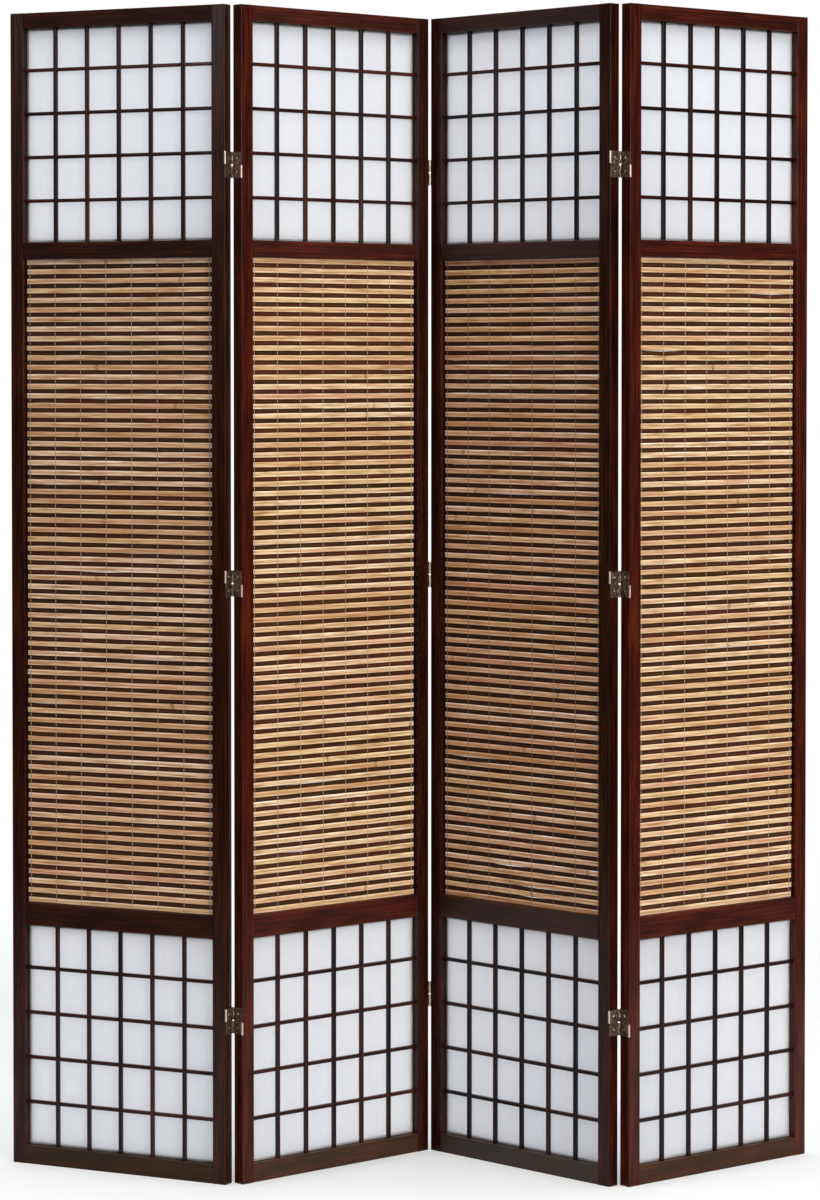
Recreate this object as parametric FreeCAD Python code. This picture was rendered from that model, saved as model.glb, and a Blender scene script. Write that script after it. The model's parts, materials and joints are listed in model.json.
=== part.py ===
import FreeCAD
import Part
import math
import os

# Four-panel folding room screen. Each panel is a stained timber frame that
# holds a papered lattice above and below a mat of bamboo slats. Neighbouring
# panels are joined by three double-action hinges, which fold either way.
# Sizes are in millimetres. +Z is up, the front of the screen looks along -Y,
# and the origin lies on the floor at the middle of the standing screen.

# Stance: turn of each panel from a straight line, seen from above
panel_turns = (-25.5, 41.5, -44.5, 39.5)

# Timber frame of one panel
panel_width = 380.0
panel_height = 1800.0
panel_depth = 20.0
stile_width = 23.0
edge_round = 1.0
top_rail_height = 24.0
upper_window_height = 333.0
upper_rail_height = 26.0
lower_rail_height = 35.0
lower_window_height = 347.0
bottom_rail_height = 29.0
tenon_length = 10.0
tenon_depth = 6.0
tenon_shoulder = 4.0
joint_clearance = 0.1

# Papered lattice windows
lattice_uprights = 5
lattice_crossbars = 4
lattice_recess = 6.0
bar_width = 5.5
bar_depth = 6.0
paper_thickness = 0.4
paper_margin = 0.5

# Battens that line each opening behind the paper or the mat
mat_batten_width = 8.0
window_batten_width = 3.5
batten_setback = 0.8

# Bamboo mat
mat_recess = 7.0
slat_thickness = 2.0
slat_end_gap = 2.5
slat_gap = 0.34
light_slat_height = 8.6
dark_slat_height = 5.6
dark_slat_edge = 0.9
thread_lines = 8
thread_inset = 5.0
thread_width = 1.0
thread_thickness = 0.3

# Double-action hinge
hinge_height = 40.0
hinge_split = 2.3
bottom_hinge_level = 250.0
top_hinge_drop = 243.0
middle_hinge_rise = 16.0
leaf_thickness = 0.7
strap_thickness = 0.7
strap_play = 0.15
pin_radius = 0.9
pin_clearance = 0.05
knuckle_wall = 0.75
knuckle_tuck = 0.4
knuckle_gap = 0.25
barrel_clearance = 0.4
access_hole_radius = 3.2

# Countersunk hinge screws
screw_length = 14.0
screw_point = 3.0
screw_radius = 1.4
screw_head_radius = 2.6
screw_spacing = 21.0
screw_clearance = 0.05

# Places that follow from the sizes
ACROSS = FreeCAD.Vector(1, 0, 0)
UP = FreeCAD.Vector(0, 0, 1)
opening = (stile_width, panel_width - stile_width)
bottom_rail = (0.0, bottom_rail_height)
lower_window = (bottom_rail[1], bottom_rail[1] + lower_window_height)
lower_rail = (lower_window[1], lower_window[1] + lower_rail_height)
top_rail = (panel_height - top_rail_height, panel_height)
upper_window = (top_rail[0] - upper_window_height, top_rail[0])
upper_rail = (upper_window[0] - upper_rail_height, upper_window[0])
mat_opening = (lower_rail[1], upper_rail[0])
rails = (bottom_rail, lower_rail, upper_rail, top_rail)
windows = (lower_window, upper_window)

lattice_lap = lattice_recess + bar_depth / 2
paper_front = lattice_recess + bar_depth
paper_back = paper_front + paper_thickness
slat_back = mat_recess + slat_thickness
mat_back = slat_back + thread_thickness
batten_back = panel_depth - batten_setback
slat_ends = (opening[0] + slat_end_gap, opening[1] - slat_end_gap)
slat_pitch = light_slat_height + dark_slat_height + 2 * slat_gap

panel_gap = 2 * leaf_thickness + strap_thickness + 2 * strap_play
bore_radius = pin_radius + pin_clearance
knuckle_radius = bore_radius + knuckle_wall
axis_stand_off = knuckle_radius - knuckle_tuck
front_axis = -axis_stand_off
back_axis = panel_depth + axis_stand_off
plate_front = front_axis + knuckle_radius + barrel_clearance
plate_back = back_axis - knuckle_radius - barrel_clearance
half_hinge = (hinge_height - hinge_split) / 2
top_hinge_level = panel_height - top_hinge_drop
middle_hinge_level = (bottom_hinge_level + top_hinge_level) / 2 + middle_hinge_rise
hinge_levels = (bottom_hinge_level, middle_hinge_level, top_hinge_level)
screw_rises = (-screw_spacing / 2, screw_spacing / 2)


def block(across, deep, up):
    """Box between a low and a high value in each direction."""
    corner = FreeCAD.Vector(across[0], deep[0], up[0])
    return Part.makeBox(across[1] - across[0], deep[1] - deep[0], up[1] - up[0], corner)


def eased_timber(across, deep, up, grain):
    """Box whose four edges along the grain are rounded."""
    timber = block(across, deep, up)
    arrises = [e for e in timber.Edges if abs(e.tangentAt(e.FirstParameter).dot(grain)) > 0.9]
    return timber.makeFillet(edge_round, arrises)


def grown(span, margin):
    """A low and high value moved apart, or together for a negative margin."""
    return (span[0] - margin, span[1] + margin)


def mirrored_range(start, reach):
    """Low and high value of a stretch that may run either way."""
    return (min(start, start + reach), max(start, start + reach))


def evenly(span, count, width):
    """Centres of equal bars that divide a span into equal cells."""
    cell = (span[1] - span[0] - count * width) / (count + 1)
    return [span[0] + cell + width / 2 + i * (cell + width) for i in range(count)]


# Timber frame

def tenon_face(rail):
    """Depth and height ranges of the tenon at the ends of a rail."""
    cheek = (panel_depth - tenon_depth) / 2
    return (cheek, panel_depth - cheek), grown(rail, -tenon_shoulder)


def make_rail(rail):
    """Rail between the stiles with a stub tenon at each end."""
    deep, up = tenon_face(rail)
    timber = eased_timber(opening, (0, panel_depth), rail, ACROSS)
    tenons = block(grown(opening, tenon_length), deep, up)
    return timber.fuse(tenons).removeSplitter()


def make_stile(outer, inward, hinged):
    """Upright from its outer face inward, with mortises and screw holes."""
    timber = eased_timber(mirrored_range(outer, inward * stile_width), (0, panel_depth), (0, panel_height), UP)
    inner = outer + inward * stile_width
    cuts = []
    for rail in rails:
        deep, up = tenon_face(rail)
        mortise = mirrored_range(inner, -inward * (tenon_length + joint_clearance))
        cuts.append(block(mortise, grown(deep, joint_clearance), grown(up, joint_clearance)))
    if hinged:
        for level in hinge_levels:
            for rise in screw_rises:
                mouth = FreeCAD.Vector(outer, panel_depth / 2, level + rise)
                cuts.append(Part.makeCylinder(screw_radius + screw_clearance, screw_length, mouth, ACROSS * inward))
    return timber.cut(cuts)


# Papered lattice

def lapped_outline(span, crossings, plain, lapped):
    """Side outline of a bar with a half-depth notch at each crossing."""
    half_notch = bar_width / 2 + joint_clearance
    outline = [(span[0], plain), (span[0], lapped)]
    for centre in crossings:
        outline.append((centre - half_notch, lapped))
        outline.append((centre - half_notch, lattice_lap))
        outline.append((centre + half_notch, lattice_lap))
        outline.append((centre + half_notch, lapped))
    return outline + [(span[1], lapped), (span[1], plain)]


def prism(points, travel):
    """Solid that a closed outline sweeps along a straight travel."""
    return Part.Face(Part.makePolygon(points + points[:1])).extrude(travel)


def make_lattice(window):
    """Upright and cross bars, half-lapped flush where they cross."""
    upright_places = evenly(opening, lattice_uprights, bar_width)
    cross_places = evenly(window, lattice_crossbars, bar_width)
    bars = []
    side = lapped_outline(window, cross_places, lattice_recess, paper_front)
    for place in upright_places:
        points = [FreeCAD.Vector(place - bar_width / 2, deep, up) for up, deep in side]
        bars.append(prism(points, ACROSS * bar_width))
    plan = lapped_outline(opening, upright_places, paper_front, lattice_recess)
    for place in cross_places:
        points = [FreeCAD.Vector(across, deep, place - bar_width / 2) for across, deep in plan]
        bars.append(prism(points, UP * bar_width))
    return bars


def make_paper(window):
    """Sheet glued to the back of a lattice."""
    return block(grown(opening, -paper_margin), (paper_front, paper_back), grown(window, -paper_margin))


def make_battens(span, front, width):
    """Four battens that line an opening, the uprights over its whole height."""
    deep = (front, batten_back)
    left = block((opening[0], opening[0] + width), deep, span)
    right = block((opening[1] - width, opening[1]), deep, span)
    between = grown(opening, -width)
    foot = block(between, deep, (span[0], span[0] + width))
    head = block(between, deep, (span[1] - width, span[1]))
    return [left, right, foot, head]


# Bamboo mat

def make_dark_slat():
    """Split-cane slat, flat behind and domed in front, standing on level zero."""
    shoulder = slat_back - dark_slat_edge
    foot_back = FreeCAD.Vector(slat_ends[0], slat_back, 0)
    head_back = FreeCAD.Vector(slat_ends[0], slat_back, dark_slat_height)
    head_front = FreeCAD.Vector(slat_ends[0], shoulder, dark_slat_height)
    crest = FreeCAD.Vector(slat_ends[0], mat_recess, dark_slat_height / 2)
    foot_front = FreeCAD.Vector(slat_ends[0], shoulder, 0)
    dome = Part.Arc(head_front, crest, foot_front).toShape()
    sides = Part.makePolygon([foot_front, foot_back, head_back, head_front])
    section = Part.Face(Part.Wire(sides.Edges + [dome]))
    return section.extrude(ACROSS * (slat_ends[1] - slat_ends[0]))


def make_mat():
    """Light and dark slats in turn, and the strands that bind them."""
    room = mat_opening[1] - mat_opening[0] - light_slat_height
    steps = int(math.floor(room / slat_pitch))
    mat_height = steps * slat_pitch + light_slat_height
    foot = (mat_opening[0] + mat_opening[1] - mat_height) / 2
    light_slat = block(slat_ends, (mat_recess, slat_back), (foot, foot + light_slat_height))
    first_dark = foot + light_slat_height + slat_gap
    dark_slat = make_dark_slat().translated(UP * first_dark)
    light = [light_slat.translated(UP * (i * slat_pitch)) for i in range(steps + 1)]
    dark = [dark_slat.translated(UP * (i * slat_pitch)) for i in range(steps)]
    first_line = slat_ends[0] + thread_inset
    line_step = (slat_ends[1] - slat_ends[0] - 2 * thread_inset) / (thread_lines - 1)
    strands = []
    for i in range(thread_lines):
        line = first_line + i * line_step
        across = (line - thread_width / 2, line + thread_width / 2)
        for deep in ((mat_recess - thread_thickness, mat_recess), (slat_back, mat_back)):
            strands.append(block(across, deep, (foot, foot + mat_height)))
    return light, dark, strands


# Double-action hinge, about its own middle: the mid-plane between two panels
# is at zero across, and the panels' front faces are at zero deep. The leaves
# are screwed to the stiles. In the upper half a strap links the left leaf's
# front barrel to the right leaf's back barrel, and in the lower half a strap
# links the other two, so that the pair turns on either edge.

def half_range(half):
    """Height range of the upper (+1) or lower (-1) half of the hinge."""
    return mirrored_range(half * hinge_split / 2, half * half_hinge)


def knuckle_ranges(half):
    """Height ranges of the three knuckles that make up one barrel."""
    low, high = half_range(half)
    length = (high - low - 2 * knuckle_gap) / 3
    step = length + knuckle_gap
    return [(low + i * step, low + i * step + length) for i in range(3)]


def upright_round(radius, axis, up):
    """Upright cylinder on a barrel axis."""
    return Part.makeCylinder(radius, up[1] - up[0], FreeCAD.Vector(0, axis, up[0]))


def make_knuckle(plate_sides, axis, edge, up):
    """Rolled knuckle and the tab that carries it from the edge of its plate."""
    tab = block(plate_sides, (min(axis, edge), max(axis, edge)), up)
    return upright_round(knuckle_radius, axis, up).fuse(tab)


def leaf_axis(side, half):
    """Barrel axis of the left (-1) or right (+1) leaf, and its plate's edge there."""
    if side * half < 0:
        return front_axis, plate_front
    return back_axis, plate_back


def make_leaf(side):
    """Leaf with two knuckles in each half and two countersunk screw holes."""
    seat = side * panel_gap / 2
    sides = mirrored_range(seat, -side * leaf_thickness)
    leaf = block(sides, (plate_front, plate_back), (-hinge_height / 2, hinge_height / 2))
    bores = []
    for half in (-1, 1):
        axis, edge = leaf_axis(side, half)
        knuckles = knuckle_ranges(half)
        leaf = leaf.fuse([make_knuckle(sides, axis, edge, knuckles[i]) for i in (0, 2)])
        bores.append(upright_round(bore_radius, axis, half_range(half)))
    for rise in screw_rises:
        foot = FreeCAD.Vector(seat, panel_depth / 2, rise)
        narrow = screw_radius + screw_clearance
        wide = screw_head_radius + screw_clearance
        bores.append(Part.makeCone(narrow, wide, leaf_thickness, foot, ACROSS * -side))
    return leaf.cut(bores).removeSplitter()


def make_strap(half):
    """Strap that links the front and back barrels in one half of the hinge."""
    sides = (-strap_thickness / 2, strap_thickness / 2)
    strap = block(sides, (plate_front, plate_back), half_range(half))
    middle = knuckle_ranges(half)[1]
    cuts = []
    for axis, edge in ((front_axis, plate_front), (back_axis, plate_back)):
        strap = strap.fuse(make_knuckle(sides, axis, edge, middle))
        cuts.append(upright_round(bore_radius, axis, half_range(half)))
    near = FreeCAD.Vector(sides[0], panel_depth / 2, half * screw_spacing / 2)
    cuts.append(Part.makeCylinder(access_hole_radius, strap_thickness, near, ACROSS))
    return strap.cut(cuts).removeSplitter()


def make_pins(half):
    """Pins of the front and back barrels in one half of the hinge."""
    return [upright_round(pin_radius, axis, half_range(half)) for axis in (front_axis, back_axis)]


def make_screw(side, rise):
    """Countersunk screw, flush with its leaf, that bites into the stile."""
    seat = FreeCAD.Vector(side * panel_gap / 2, panel_depth / 2, rise)
    inward = ACROSS * side
    straight = screw_length - screw_point
    head = Part.makeCone(screw_head_radius, screw_radius, leaf_thickness, seat - inward * leaf_thickness, inward)
    shank = Part.makeCylinder(screw_radius, straight, seat, inward)
    point = Part.makeCone(screw_radius, 0, screw_point, seat + inward * straight, inward)
    return head.fuse([shank, point]).removeSplitter()


# Stance of the panels

def stand_panels():
    """Placement of each panel, joined to the one before it at a hinge axis."""
    places = []
    for i, turn in enumerate(panel_turns):
        spin = FreeCAD.Rotation(UP, turn)
        corner = FreeCAD.Vector(0, 0, 0)
        if i:
            axis = fold_axis(i - 1)
            left = FreeCAD.Vector(panel_width + panel_gap / 2, axis, 0)
            right = FreeCAD.Vector(-panel_gap / 2, axis, 0)
            corner = places[-1].multVec(left) - spin.multVec(right)
        places.append(FreeCAD.Placement(corner, spin))
    return places


def fold_axis(joint):
    """Depth of the axis on which a joint stands folded."""
    if panel_turns[joint + 1] > panel_turns[joint]:
        return back_axis
    return front_axis


def put(shapes, place):
    """Group of separate solids moved to their standing place."""
    return Part.makeCompound(shapes).transformed(place.toMatrix(), copy=True)


def at_hinges(shapes, across):
    """Copies of hinge pieces at every hinge level of a joint."""
    copies = []
    for level in hinge_levels:
        for shape in shapes:
            copies.append(shape.translated(FreeCAD.Vector(across, 0, level)))
    return copies


def build():
    """Every piece of the screen by its node's name, and the fold axes in plan."""
    places = stand_panels()
    last = len(places) - 1
    light, dark, strands = make_mat()
    lattice = make_lattice(lower_window) + make_lattice(upper_window)
    battens = make_battens(mat_opening, mat_back, mat_batten_width)
    for window in windows:
        battens += make_battens(window, paper_back, window_batten_width)
    from_left = panel_width + panel_gap / 2
    from_right = -panel_gap / 2
    nodes = {}
    for i, place in enumerate(places):
        name = "panel_%d_" % (i + 1)
        nodes[name + "left_stile"] = put([make_stile(0, 1, i > 0)], place)
        nodes[name + "right_stile"] = put([make_stile(panel_width, -1, i < last)], place)
        nodes[name + "rails"] = put([make_rail(rail) for rail in rails], place)
        nodes[name + "lattice_bars"] = put(lattice, place)
        nodes[name + "paper_sheets"] = put([make_paper(window) for window in windows], place)
        nodes[name + "battens"] = put(battens, place)
        nodes[name + "light_slats"] = put(light, place)
        nodes[name + "dark_slats"] = put(dark, place)
        nodes[name + "binding_threads"] = put(strands, place)
        screws = []
        if i > 0:
            screws += at_hinges([make_screw(1, rise) for rise in screw_rises], from_right)
        if i < last:
            screws += at_hinges([make_screw(-1, rise) for rise in screw_rises], from_left)
        nodes[name + "hinge_screws"] = put(screws, place)
    axes = []
    for joint in range(last):
        name = "hinge_%d%d_" % (joint + 1, joint + 2)
        left, right = places[joint], places[joint + 1]
        nodes[name + "left_leaves"] = put(at_hinges([make_leaf(-1)], from_left), left)
        nodes[name + "right_leaves"] = put(at_hinges([make_leaf(1)], from_right), right)
        # A strap stays with the leaf on whose barrel the joint isn't folded.
        folds_behind = fold_axis(joint) == back_axis
        for half, label in ((1, "upper"), (-1, "lower")):
            rides_left = folds_behind == (half > 0)
            place = left if rides_left else right
            across = from_left if rides_left else from_right
            nodes[name + label + "_straps"] = put(at_hinges([make_strap(half)], across), place)
            nodes[name + label + "_pins"] = put(at_hinges(make_pins(half), across), place)
        axes.append(left.multVec(FreeCAD.Vector(from_left, fold_axis(joint), 0)))
    return nodes, axes


nodes, axes = build()
box = Part.makeCompound(list(nodes.values())).optimalBoundingBox()
middle = FreeCAD.Vector(box.Center.x, box.Center.y, box.ZMin)
os.makedirs("parts", exist_ok=True)
for name, shape in nodes.items():
    shape.translated(-middle).exportStep("parts/%s.step" % name)
print("nodes", len(nodes), "size %.2f x %.2f x %.2f" % (box.XLength, box.YLength, box.ZLength))
for joint, axis in enumerate(axes):
    place = axis - middle
    fold = panel_turns[joint + 1] - panel_turns[joint]
    print("fold axis %d: x %.4f y %.4f, folded %.1f" % (joint + 1, place.x, place.y, fold))
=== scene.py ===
# %% [markdown]
# A bamboo folding screen
#
# The screen has four timber frames, joined by hinges that fold either way. Each frame holds a papered
# lattice above and below a mat of bamboo strips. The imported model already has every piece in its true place,
# in metres, with +Z up and the front of the screen looking along -Y. This lesson keeps the pieces whose
# shape is right and gives them a finish, and it makes the finely shaped ones again: lattice, strips, threads
# and screws.

# %% Load the frame
import json
import math

import bmesh
import bpy
from mathutils import Matrix, Vector


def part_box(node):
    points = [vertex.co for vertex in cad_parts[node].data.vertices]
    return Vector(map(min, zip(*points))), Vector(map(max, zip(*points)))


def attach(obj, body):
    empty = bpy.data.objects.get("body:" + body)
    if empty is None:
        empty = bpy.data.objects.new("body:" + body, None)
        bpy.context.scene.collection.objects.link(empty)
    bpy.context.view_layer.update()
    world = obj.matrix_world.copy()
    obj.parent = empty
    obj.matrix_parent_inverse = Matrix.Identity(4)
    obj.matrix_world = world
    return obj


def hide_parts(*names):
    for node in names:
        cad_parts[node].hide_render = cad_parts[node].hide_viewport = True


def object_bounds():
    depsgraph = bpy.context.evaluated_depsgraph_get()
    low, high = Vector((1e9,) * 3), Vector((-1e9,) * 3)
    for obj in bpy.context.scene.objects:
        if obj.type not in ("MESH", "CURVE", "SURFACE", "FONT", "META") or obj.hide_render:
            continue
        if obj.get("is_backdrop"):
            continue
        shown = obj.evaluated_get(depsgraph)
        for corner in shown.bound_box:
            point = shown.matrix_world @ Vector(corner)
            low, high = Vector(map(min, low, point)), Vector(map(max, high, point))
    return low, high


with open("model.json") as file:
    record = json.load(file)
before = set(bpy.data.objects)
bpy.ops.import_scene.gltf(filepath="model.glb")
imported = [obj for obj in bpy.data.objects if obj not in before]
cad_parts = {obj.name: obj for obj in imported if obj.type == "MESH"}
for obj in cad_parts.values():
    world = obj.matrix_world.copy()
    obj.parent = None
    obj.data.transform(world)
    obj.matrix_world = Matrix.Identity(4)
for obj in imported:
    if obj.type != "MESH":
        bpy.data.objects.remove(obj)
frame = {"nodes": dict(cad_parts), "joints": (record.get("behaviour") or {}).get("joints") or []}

cad_nodes = frame["nodes"]
cad_box = [list(corner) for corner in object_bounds()]


def rounded(place):
    """A place in tenths of a millimetre, to be printed."""
    return [round(x, 4) for x in place]


print(len(cad_nodes), "pieces, box", [rounded(corner) for corner in cad_box])

# %% [markdown]
# Where the panels stand
#
# The four panels are alike, so it is easiest to shape things once, on a panel that lies flat against the
# axes: u runs across it from its left edge, v runs from its front face to its back, and z runs up. One matrix
# per panel then carries such a shape to where the panel stands. The fold joints of the record tell where
# neighbouring panels meet. The alternative, turning the finished objects, would turn their textures as well,
# so the place goes into the mesh.

# %% Panel places
panel_width, panel_depth, stile_width = 0.380, 0.020, 0.023
hinge_gap, barrel_stand_off = 0.0024, 0.0013
panel_turn = {1: -25.5, 2: 41.5, 3: -44.5, 4: 39.5}
front_barrel, back_barrel = -barrel_stand_off, panel_depth + barrel_stand_off
left_barrel, right_barrel = -hinge_gap / 2, panel_width + hinge_gap / 2
fold_on_panel = {
    1: ("fold_1_2", right_barrel, back_barrel),
    2: ("fold_1_2", left_barrel, back_barrel),
    3: ("fold_2_3", left_barrel, front_barrel),
    4: ("fold_3_4", left_barrel, back_barrel),
}
fold_place = {joint["name"]: Vector(joint["pos_m"]) for joint in frame["joints"]}
panel_place = {}
for panel, (fold, across, deep) in fold_on_panel.items():
    turned = Matrix.Rotation(math.radians(panel_turn[panel]), 4, "Z")
    corner = fold_place[fold].xy.to_3d() - turned @ Vector((across, deep, 0))
    panel_place[panel] = Matrix.Translation(corner) @ turned

for panel, place in panel_place.items():
    low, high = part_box("panel_%d_left_stile" % panel)
    foot = [place @ Vector((u, v, 0)) for u in (0, stile_width) for v in (0, panel_depth)]
    off = max(abs(min(p.x for p in foot) - low.x), abs(max(p.y for p in foot) - high.y))
    print("panel", panel, "corner", rounded(place.translation), "off by %.2f mm" % (off * 1000))

# %% [markdown]
# The camera
#
# The photograph was taken from about six metres away with a long lens, well above the middle of the screen,
# and yet its uprights are almost parallel. So the camera hardly looks down: it is tilted by 1.5 degrees, and
# a shift of the lens lowers the picture for the rest. The place, the tilt, the shift and the lens came from
# fitting the corners of the four panels. With the sensor fit left on auto, the sensor width belongs to the
# longer side of the picture, here its height.

# %% Camera
camera = bpy.data.objects.new("camera", bpy.data.cameras.new("camera"))
bpy.context.scene.collection.objects.link(camera)
camera.location = (0.018036, -5.748436, 1.260733)
camera.rotation_euler = (math.radians(88.5), 0, math.radians(0.196))
camera.data.sensor_width = 36
camera.data.lens = 110.973
camera.data.shift_y = -0.1195
bpy.context.scene.camera = camera
print("camera", round(camera.location.length, 2), "m away, lens", round(camera.data.lens, 1), "mm")

# %% [markdown]
# Nodes in few words
#
# Materials and Geometry Nodes are both trees of nodes. Writing out every node and link would take a page for
# each tree, so a few helpers do it. One adds a node, sets its options and fills its sockets. A socket takes a
# plain value, or the output of another node, which is then linked. Sockets that share a name are told apart
# by being switched on, or are given by number.

# %% Helpers for node trees
def fill(tree, node, sockets):
    """Fills a node's sockets with plain values or with the outputs of other nodes."""
    for key, value in sockets.items():
        if isinstance(key, int):
            socket = node.inputs[key]
        else:
            socket = next(s for s in node.inputs if s.name == key and s.enabled)
        if isinstance(value, bpy.types.Node):
            value = next(s for s in value.outputs if s.enabled)
        if isinstance(value, bpy.types.NodeSocket):
            tree.links.new(value, socket)
        else:
            socket.default_value = value


def add(tree, kind, sockets=None, **options):
    """Adds a node to a tree, with its options and sockets filled in."""
    made = tree.nodes.new(kind)
    for option, value in options.items():
        setattr(made, option, value)
    fill(tree, made, sockets or {})
    return made


def only(tree, kind):
    """The one node of a kind that a new tree comes with."""
    return next(node for node in tree.nodes if node.type == kind)


def new_finish(name):
    """A material with a lone Principled surface."""
    finish = bpy.data.materials.new(name)
    finish.use_nodes = True
    return finish, finish.node_tree, only(finish.node_tree, "BSDF_PRINCIPLED")


print("node helpers ready")

# %% Helpers for places and numbers
def own_place(tree):
    """Where a point is at rest. All objects stay at the origin, so this is its place in the room."""
    return add(tree, "ShaderNodeTexCoord").outputs["Object"]


def split(tree, place):
    """The three parts of a place."""
    return add(tree, "ShaderNodeSeparateXYZ", {0: place}).outputs


def spot(tree, across=0.0, deep=0.0, up=0.0):
    """A point or a step from three parts."""
    return add(tree, "ShaderNodeCombineXYZ", {0: across, 1: deep, 2: up}).outputs[0]


def distance(tree, place):
    """How far a place is from the origin."""
    return add(tree, "ShaderNodeVectorMath", {0: place}, operation="LENGTH").outputs["Value"]


def spread(tree, value, start, stop, first=0.0, last=1.0, soft=False):
    """Runs from a first number to a last one while a value goes from start to stop."""
    return add(tree, "ShaderNodeMapRange", {"Value": value, 1: start, 2: stop, 3: first, 4: last},
               interpolation_type="SMOOTHSTEP" if soft else "LINEAR").outputs[0]


def mixed(tree, share, first, second):
    """Two numbers mixed by a share."""
    return add(tree, "ShaderNodeMix", {"Factor": share, 2: first, 3: second}, data_type="FLOAT").outputs[0]


def blend(tree, share, first, second, way="MIX"):
    """Two colours mixed by a share."""
    return add(tree, "ShaderNodeMix", {"Factor": share, 6: first, 7: second}, data_type="RGBA",
               blend_type=way).outputs[2]


print("place helpers ready")

# %% [markdown]
# The studio
#
# The screen was photographed in a white studio: the background is pure white, the floor is almost white, and
# a soft grey lies only where the feet touch it. A wall behind the screen would block the view from the back,
# so the white is the world itself, which only the camera sees at full strength. To everything else the world
# is a dim room with a lit ceiling and a white wall behind the screen, told apart by the direction in which a
# ray leaves. The floor is a pale disc that fades out well away from the screen, so it shows no edge from any
# side. It is a little see-through everywhere: the white below it keeps it bright to the camera, and it throws
# less light up at the mats, as in the photograph.

# %% Floor
floor_radius, fade_from, fade_to, floor_cover = 3.0, 1.5, 2.9, 0.78
floor_paint, tree, surface = new_finish("studio_floor")
fill(tree, surface, {"Base Color": (0.82, 0.82, 0.82, 1), "Roughness": 0.7, "Specular IOR Level": 0.1})
cover = spread(tree, distance(tree, own_place(tree)), fade_from, fade_to, floor_cover, 0.0, soft=True)
clear = add(tree, "ShaderNodeBsdfTransparent")
faded = add(tree, "ShaderNodeMixShader", {0: cover, 1: clear, 2: surface})
fill(tree, only(tree, "OUTPUT_MATERIAL"), {"Surface": faded})

disc = bmesh.new()
bmesh.ops.create_circle(disc, cap_ends=True, radius=floor_radius, segments=96)
studio_floor = bpy.data.objects.new("studio_floor", bpy.data.meshes.new("studio_floor"))
disc.to_mesh(studio_floor.data)
disc.free()
studio_floor.data.materials.append(floor_paint)
bpy.context.scene.collection.objects.link(studio_floor)
studio_floor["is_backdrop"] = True
print("floor radius", floor_radius, "m, opaque by", floor_cover)

# %% Background
dim_room, lit_ceiling, white_wall = 0.06, 1.0, 0.68
room_tint, wall_tint = (0.98, 0.99, 1.0, 1), (0.87, 0.91, 1.0, 1)
world = bpy.data.worlds.new("studio")
world.use_nodes = True
tree = world.node_tree
_, backward, upward = split(tree, add(tree, "ShaderNodeTexCoord").outputs["Generated"])
ceiling = spread(tree, upward, 0.25, 0.95, dim_room, lit_ceiling, soft=True)
behind = spread(tree, backward, 0.05, 0.35, soft=True)
room = only(tree, "BACKGROUND")
fill(tree, room, {"Strength": mixed(tree, behind, ceiling, white_wall)})
fill(tree, room, {"Color": blend(tree, behind, room_tint, wall_tint)})
white = add(tree, "ShaderNodeBackground", {"Color": (1, 1, 1, 1), "Strength": 1.0})
to_camera = add(tree, "ShaderNodeLightPath").outputs["Is Camera Ray"]
seen = add(tree, "ShaderNodeMixShader", {0: to_camera, 1: room, 2: white})
fill(tree, only(tree, "OUTPUT_WORLD"), {"Surface": seen})
bpy.context.scene.world = world
bpy.context.scene.view_settings.view_transform = "Standard"
print("world", world.name, "with", len(tree.nodes), "nodes")

# %% [markdown]
# The lights
#
# The panels that look to the right are about twice as bright as those that look to the left, so the main
# softbox stands at the front right, far enough away that both of them get the same. A softbox overhead lights
# the floor and gives the thin shadow under each rail. A weak one stands high on the left: it lifts the other
# two panels a little, and its reflection is the grey gleam at the top of the first one. A last one, high in
# front, lights the tops of the mats as much as the floor lights their feet. The paper needs no lamp of its
# own, as the white wall of the world shines through it. Softboxes are area lights, and the camera doesn't see
# the lamps themselves.

# %% Softboxes
def softbox(name, place, target, size, power, colour=(1, 1, 1)):
    """An area light at a place, turned towards a target."""
    lamp = bpy.data.lights.new(name, "AREA")
    lamp.shape = "RECTANGLE"
    lamp.size, lamp.size_y = size
    lamp.energy = power
    lamp.color = colour
    holder = bpy.data.objects.new(name, lamp)
    holder.location = place
    holder.rotation_euler = (Vector(target) - Vector(place)).to_track_quat("-Z", "Y").to_euler()
    holder.visible_camera = False
    bpy.context.scene.collection.objects.link(holder)
    return holder


softboxes = [
    softbox("softbox_right", (7.0, -8.9, 4.0), (0, 0, 0.9), (4.0, 5.0), 970, (1.0, 0.98, 0.95)),
    softbox("softbox_left", (-3.3, -2.6, 2.4), (-0.2, 0, 1.4), (0.5, 0.7), 12),
    softbox("softbox_overhead", (0, 0.1, 4.2), (0, 0.1, 0), (4.0, 1.6), 100),
    softbox("softbox_top", (0, -2.4, 3.9), (0, 0, 1.6), (2.5, 1.0), 24),
]
print("softboxes", [(s.name, s.data.energy) for s in softboxes])

# %% [markdown]
# Stained timber
#
# The frames are softwood, stained a dark red-brown and lacquered to a satin gloss. Under the stain the grain
# still shows as streaks along each timber, a few of them lighter. An image of wood would stretch and repeat,
# so the grain is noise that is drawn out along the timber. A Mapping node of the Texture kind first takes a
# point back to its panel's own u, v and z, so that the grain of a rail runs along the rail however the panel
# is turned. The rails are rougher than the stiles. The bottom rails have a grey film near the floor, partly
# dust and partly a painted reflection of the white floor. The two panels that face left, and the right stile of
# the second panel, take a darker copy of the stain: painted shade, where less light falls.

# %% Grain along a panel
def on_panel(tree, panel):
    """Where a point lies on its panel, in metres: across, deep and up."""
    return add(tree, "ShaderNodeMapping", {
        "Vector": own_place(tree), "Location": panel_place[panel].translation,
        "Rotation": (0, 0, math.radians(panel_turn[panel]))}, vector_type="TEXTURE").outputs[0]


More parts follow.
